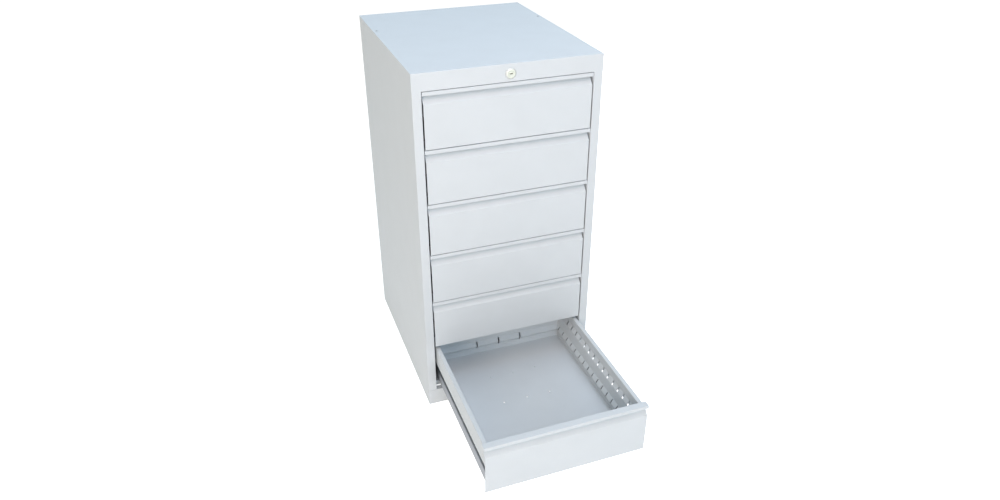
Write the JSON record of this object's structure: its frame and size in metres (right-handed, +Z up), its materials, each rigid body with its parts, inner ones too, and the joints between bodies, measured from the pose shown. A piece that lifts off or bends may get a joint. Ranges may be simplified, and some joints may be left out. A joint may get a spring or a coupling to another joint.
{
  "type": "microscope slide cabinet",
  "caption": "Floor-standing steel cabinet with a column of slotted sheet-metal drawers on ball runners, the lowest drawn out, and one lock in the top rail that holds them all.",
  "frame": {"origin": "on the floor, under the middle of the cabinet's footprint; the drawn-out drawer is not counted", "axes": "X to the viewer's right when facing the drawers, Y to the back (drawer fronts face -Y), Z up"},
  "size_m": [0.5, 1.025, 1],
  "materials": {
    "shell_paint": "pale grey powder coat, fine satin texture",
    "front_paint": "pale grey powder coat, fine satin texture",
    "tub_paint": "pale grey powder coat inside the drawers",
    "inner_paint": "thin grey powder coat on the inner frame",
    "runner_steel": "zinc-plated rolled steel",
    "ball_steel": "polished balls in a bright steel cage",
    "screw_steel": "zinc-plated screw",
    "lock_metal": "satin nickel, slightly warm",
    "linkage_steel": "zinc-plated pressed steel",
    "guide_plastic": "moulded acetal, dark"
  },
  "bodies": {
    "cabinet": {"left_side_panel": "shell_paint", "right_side_panel": "shell_paint", "top_panel": "shell_paint", "back_panel": "shell_paint", "plinth_frame": "shell_paint", "bottom_panel": "inner_paint", "left_front_upright": "inner_paint", "right_front_upright": "inner_paint", "left_rear_upright": "inner_paint", "right_rear_upright": "inner_paint", "left_cabinet_runners": "runner_steel", "right_cabinet_runners": "runner_steel", "runner_screws": "screw_steel", "lock_housing": "lock_metal", "lock_nut": "linkage_steel", "lock_bar_guides": "guide_plastic", "transfer_bar_guides": "guide_plastic"},
    "drawer_1": {"drawer_1_front": "front_paint", "drawer_1_side_walls": "tub_paint", "drawer_1_floor_tray": "tub_paint", "drawer_1_back": "tub_paint", "drawer_1_runners": "runner_steel"},
    "drawer_1_cages": {"drawer_1_ball_cages": "ball_steel"},
    "drawer_2": {"drawer_2_front": "front_paint", "drawer_2_side_walls": "tub_paint", "drawer_2_floor_tray": "tub_paint", "drawer_2_back": "tub_paint", "drawer_2_runners": "runner_steel"},
    "drawer_2_cages": {"drawer_2_ball_cages": "ball_steel"},
    "drawer_3": {"drawer_3_front": "front_paint", "drawer_3_side_walls": "tub_paint", "drawer_3_floor_tray": "tub_paint", "drawer_3_back": "tub_paint", "drawer_3_runners": "runner_steel"},
    "drawer_3_cages": {"drawer_3_ball_cages": "ball_steel"},
    "drawer_4": {"drawer_4_front": "front_paint", "drawer_4_side_walls": "tub_paint", "drawer_4_floor_tray": "tub_paint", "drawer_4_back": "tub_paint", "drawer_4_runners": "runner_steel"},
    "drawer_4_cages": {"drawer_4_ball_cages": "ball_steel"},
    "drawer_5": {"drawer_5_front": "front_paint", "drawer_5_side_walls": "tub_paint", "drawer_5_floor_tray": "tub_paint", "drawer_5_back": "tub_paint", "drawer_5_runners": "runner_steel"},
    "drawer_5_cages": {"drawer_5_ball_cages": "ball_steel"},
    "drawer_6": {"drawer_6_front": "front_paint", "drawer_6_side_walls": "tub_paint", "drawer_6_floor_tray": "tub_paint", "drawer_6_back": "tub_paint", "drawer_6_runners": "runner_steel"},
    "drawer_6_cages": {"drawer_6_ball_cages": "ball_steel"},
    "lock_cylinder": {"lock_plug": "lock_metal", "lock_cam": "linkage_steel", "lock_cam_screw": "screw_steel"},
    "transfer_bar": {"transfer_bar": "linkage_steel"},
    "lock_bar": {"lock_bar": "linkage_steel", "lock_fingers": "linkage_steel"}
  },
  "joints": [
    {"name": "drawer_1_slide", "type": "slide", "parent": "cabinet", "child": "drawer_1", "axis": [0, -1, 0], "range_m": [0, 0.425]},
    {"name": "drawer_1_cage_slide", "type": "slide", "parent": "cabinet", "child": "drawer_1_cages", "axis": [0, -1, 0], "range_m": [0, 0.2125]},
    {"name": "drawer_2_slide", "type": "slide", "parent": "cabinet", "child": "drawer_2", "axis": [0, -1, 0], "range_m": [0, 0.425]},
    {"name": "drawer_2_cage_slide", "type": "slide", "parent": "cabinet", "child": "drawer_2_cages", "axis": [0, -1, 0], "range_m": [0, 0.2125]},
    {"name": "drawer_3_slide", "type": "slide", "parent": "cabinet", "child": "drawer_3", "axis": [0, -1, 0], "range_m": [0, 0.425]},
    {"name": "drawer_3_cage_slide", "type": "slide", "parent": "cabinet", "child": "drawer_3_cages", "axis": [0, -1, 0], "range_m": [0, 0.2125]},
    {"name": "drawer_4_slide", "type": "slide", "parent": "cabinet", "child": "drawer_4", "axis": [0, -1, 0], "range_m": [0, 0.425]},
    {"name": "drawer_4_cage_slide", "type": "slide", "parent": "cabinet", "child": "drawer_4_cages", "axis": [0, -1, 0], "range_m": [0, 0.2125]},
    {"name": "drawer_5_slide", "type": "slide", "parent": "cabinet", "child": "drawer_5", "axis": [0, -1, 0], "range_m": [0, 0.425]},
    {"name": "drawer_5_cage_slide", "type": "slide", "parent": "cabinet", "child": "drawer_5_cages", "axis": [0, -1, 0], "range_m": [0, 0.2125]},
    {"name": "drawer_6_slide", "type": "slide", "parent": "cabinet", "child": "drawer_6", "axis": [0, -1, 0], "range_m": [-0.425, 0]},
    {"name": "drawer_6_cage_slide", "type": "slide", "parent": "cabinet", "child": "drawer_6_cages", "axis": [0, -1, 0], "range_m": [-0.2125, 0]},
    {"name": "lock_turn", "type": "hinge", "parent": "cabinet", "child": "lock_cylinder", "pos_m": [0, -0.3, 0.975], "axis": [0, 1, 0], "range_deg": [0, 90]},
    {"name": "transfer_bar_slide", "type": "slide", "parent": "cabinet", "child": "transfer_bar", "axis": [1, 0, 0], "range_m": [0, 0.01132]},
    {"name": "lock_bar_drop", "type": "slide", "parent": "cabinet", "child": "lock_bar", "axis": [0, 0, -1], "range_m": [0, 0.01131]}
  ],
  "couplings": [
    {"joint": "drawer_1_cage_slide", "follows": "drawer_1_slide", "ratio": 0.5},
    {"joint": "drawer_2_cage_slide", "follows": "drawer_2_slide", "ratio": 0.5},
    {"joint": "drawer_3_cage_slide", "follows": "drawer_3_slide", "ratio": 0.5},
    {"joint": "drawer_4_cage_slide", "follows": "drawer_4_slide", "ratio": 0.5},
    {"joint": "drawer_5_cage_slide", "follows": "drawer_5_slide", "ratio": 0.5},
    {"joint": "drawer_6_cage_slide", "follows": "drawer_6_slide", "ratio": 0.5},
    {"joint": "transfer_bar_slide", "follows": "lock_bar_drop", "ratio": 1},
    {"joint": "lock_turn", "follows": "lock_bar_drop", "rad_per_m": 138.84}
  ]
}
